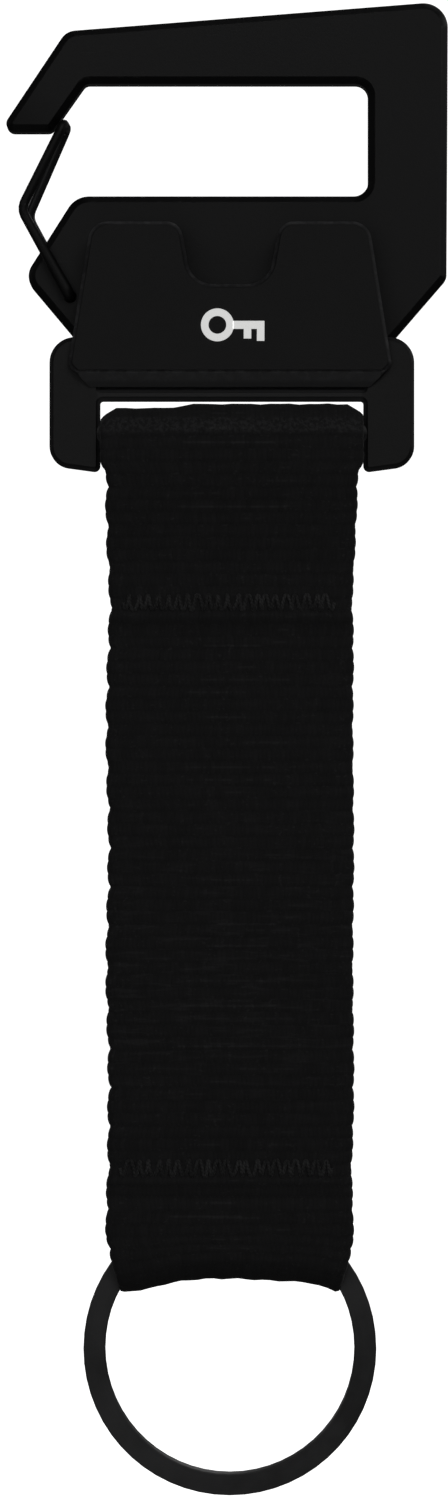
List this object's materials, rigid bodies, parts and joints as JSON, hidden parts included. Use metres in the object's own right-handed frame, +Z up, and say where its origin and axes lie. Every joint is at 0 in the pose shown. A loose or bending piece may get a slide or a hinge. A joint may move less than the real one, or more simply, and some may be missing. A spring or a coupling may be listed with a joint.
{
  "type": "key organiser",
  "caption": "Flat metal snap hook with a wire gate, a slide-off magnetic latch and a doubled webbing strap that holds a split ring.",
  "frame": {"origin": "middle of the hook's bearing face, the flat underside of its top arm, where it hangs on a loop or a bar", "axes": "+Z up along the strap, +X across the strap towards the hook's closed arm, -Y out of the front, where the latch cover is"},
  "size_m": [0.0452, 0.0096, 0.1522],
  "materials": {
    "anodised_plate": "black anodised, satin, with fine wear along its chamfers",
    "gate_wire": "black coated spring steel wire",
    "cover_shell": "matt black with a fine moulded grain",
    "frame_moulding": "satin black glass-filled nylon",
    "magnet": "nickel plated",
    "stud_steel": "turned steel",
    "webbing": "black ribbed nylon webbing",
    "thread": "bonded black thread, a little glossier than the webbing",
    "ring_black": "black oxide steel, satin"
  },
  "bodies": {
    "hook": {"hook_plate": "anodised_plate", "keeper_magnet_left": "magnet", "keeper_magnet_right": "magnet", "catch_stud_left": "stud_steel", "catch_stud_right": "stud_steel"},
    "gate": {"wire_gate": "gate_wire"},
    "latch": {"latch_cover": "cover_shell", "strap_frame": "frame_moulding", "latch_magnet_left": "magnet", "latch_magnet_right": "magnet", "cover_screw_1": "stud_steel", "cover_screw_2": "stud_steel", "cover_screw_3": "stud_steel"},
    "strap_top": {"webbing_upper": "webbing", "upper_stitching_front": "thread", "upper_stitching_back": "thread"},
    "strap_middle": {"webbing_middle": "webbing"},
    "strap_bottom": {"webbing_lower": "webbing", "lower_stitching_front": "thread", "lower_stitching_back": "thread"},
    "ring": {"split_ring": "ring_black"}
  },
  "joints": [
    {"name": "gate_swing", "type": "hinge", "parent": "hook", "child": "gate", "pos_m": [-0.0163, 0, -0.0218], "axis": [0, 1, 0], "range_deg": [0, 32], "stiffness_Nm_per_rad": 0.05, "springref_deg": -17.19},
    {"name": "latch_slide", "type": "slide", "parent": "hook", "child": "latch", "axis": [0, 0, 1], "range_m": [0, 0.002], "stiffness_N_per_m": 200, "springref_m": -0.002},
    {"name": "strap_swing", "type": "hinge", "parent": "latch", "child": "strap_top", "pos_m": [0, -0.00355, -0.0359], "axis": [1, 0, 0], "range_deg": [-100, 100]},
    {"name": "strap_bend_upper", "type": "hinge", "parent": "strap_top", "child": "strap_middle", "pos_m": [0, -0.00355, -0.0693], "axis": [1, 0, 0], "range_deg": [-55, 55], "stiffness_Nm_per_rad": 0.004},
    {"name": "strap_bend_lower", "type": "hinge", "parent": "strap_middle", "child": "strap_bottom", "pos_m": [0, -0.00355, -0.0946], "axis": [1, 0, 0], "range_deg": [-55, 55], "stiffness_Nm_per_rad": 0.004},
    {"name": "ring_spin", "type": "hinge", "parent": "strap_bottom", "child": "ring", "pos_m": [0, -0.00355, -0.129], "axis": [0, 1, 0], "continuous": true}
  ]
}
